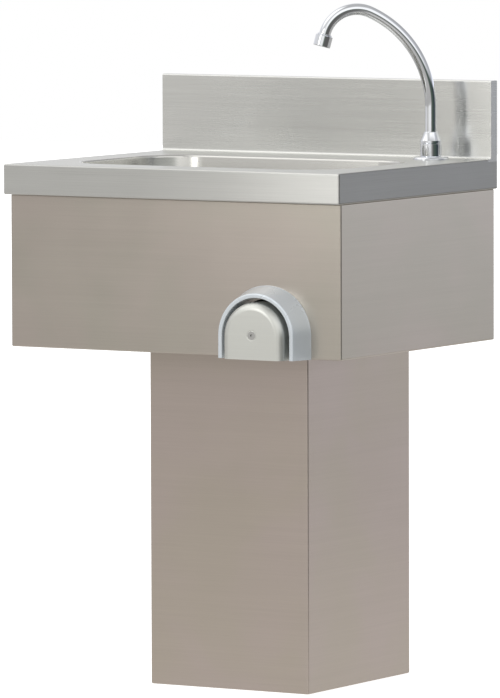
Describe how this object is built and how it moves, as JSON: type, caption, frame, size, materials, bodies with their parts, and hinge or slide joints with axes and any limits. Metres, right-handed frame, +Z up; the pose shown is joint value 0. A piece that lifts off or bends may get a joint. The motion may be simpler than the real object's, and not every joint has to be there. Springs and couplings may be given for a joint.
{
  "type": "handwash sink",
  "caption": "Free-standing stainless handwash basin on a folded pedestal, with a rear splash, a gooseneck swivel spout and a knee push valve.",
  "frame": {"origin": "on the floor, mid-width, midway between the knee pad's face and the wall plane", "axes": "+X to the right seen by the user, -Y towards the user, +Y into the wall, +Z up"},
  "size_m": [0.6, 0.524, 1.0595],
  "materials": {
    "stainless_deck": "brushed stainless sheet",
    "stainless_bowl": "satin stainless, deep drawn",
    "stainless_splash": "brushed stainless sheet",
    "stainless_apron": "fine satin stainless sheet",
    "stainless_column": "fine satin stainless sheet",
    "stainless_inner": "mill finish stainless sheet",
    "stainless_pad": "satin stainless pressing",
    "zinc_bezel": "satin silver-grey coated casting",
    "zinc_plated_steel": "zinc plated",
    "stainless_screws": "bright stainless fasteners",
    "spring_steel": "drawn spring wire",
    "chrome": "polished chrome plate",
    "brass": "machined brass",
    "stainless_strainer": "polished stainless",
    "rubber_black": "black rubber",
    "damping_sheet": "black damping sheet",
    "white_plastic": "moulded polypropylene",
    "acetal": "natural acetal",
    "knob_plastic": "moulded black plastic",
    "braided_hose": "braided stainless wire"
  },
  "bodies": {
    "root": {"top_deck": "stainless_deck", "bowl": "stainless_bowl", "backsplash": "stainless_splash", "splash_end_caps": "stainless_splash", "front_apron": "stainless_apron", "pedestal_shell": "stainless_column", "deck_stiffeners": "stainless_inner", "rear_rail_upper": "stainless_inner", "rear_rail_lower": "stainless_inner", "bottom_pan": "stainless_inner", "column_ties": "stainless_inner", "knee_bezel": "zinc_bezel", "valve_bracket": "zinc_plated_steel", "hose_ferrules": "zinc_plated_steel", "apron_screws": "stainless_screws", "column_bolts": "stainless_screws", "column_nuts": "stainless_screws", "earth_stud": "stainless_screws", "bezel_screws": "stainless_screws", "valve_screws": "stainless_screws", "waste_screw": "stainless_screws", "spout_flange": "chrome", "spout_body": "chrome", "spout_nut": "chrome", "shank_lock_nut": "brass", "valve_bonnet": "brass", "valve_body": "brass", "mixer_body": "brass", "mixer_nipple": "brass", "hose_nuts": "brass", "waste_strainer": "stainless_strainer", "deck_gasket": "rubber_black", "shank_washer": "rubber_black", "waste_gaskets": "rubber_black", "slip_washers": "rubber_black", "bowl_sound_pad": "damping_sheet", "waste_body": "white_plastic", "dip_tube": "white_plastic", "trap_body": "white_plastic", "trap_cup": "white_plastic", "slip_nuts": "white_plastic", "waste_pipe": "white_plastic", "inlet_strainers": "acetal", "spout_hose": "braided_hose"},
    "spout": {"spout_tube": "chrome", "spout_retaining_ring": "acetal", "spout_o_rings": "rubber_black", "aerator_housing": "chrome", "aerator_insert": "acetal", "aerator_seal": "rubber_black"},
    "knee_push": {"knee_pad": "stainless_pad", "knee_pad_screw": "stainless_screws", "pad_carrier": "zinc_plated_steel", "push_rod": "stainless_screws", "guide_pins": "zinc_plated_steel", "piston": "brass", "piston_seals": "rubber_black", "return_spring": "spring_steel"},
    "temperature_knob": {"mixer_knob": "knob_plastic", "mixer_spindle": "brass"}
  },
  "joints": [
    {"name": "spout_swivel", "type": "hinge", "parent": "root", "child": "spout", "pos_m": [0.2206, 0.1931, 0.85], "axis": [0, 0, 1], "continuous": true},
    {"name": "knee_push", "type": "slide", "parent": "root", "child": "knee_push", "axis": [0, 1, 0], "range_m": [0, 0.012], "stiffness_N_per_m": 1500, "springref_m": -0.004, "deforming": ["return_spring"]},
    {"name": "temperature_turn", "type": "hinge", "parent": "root", "child": "temperature_knob", "pos_m": [0.075, -0.145, 0.6], "axis": [0, 0, 1], "range_deg": [-60, 60]}
  ]
}
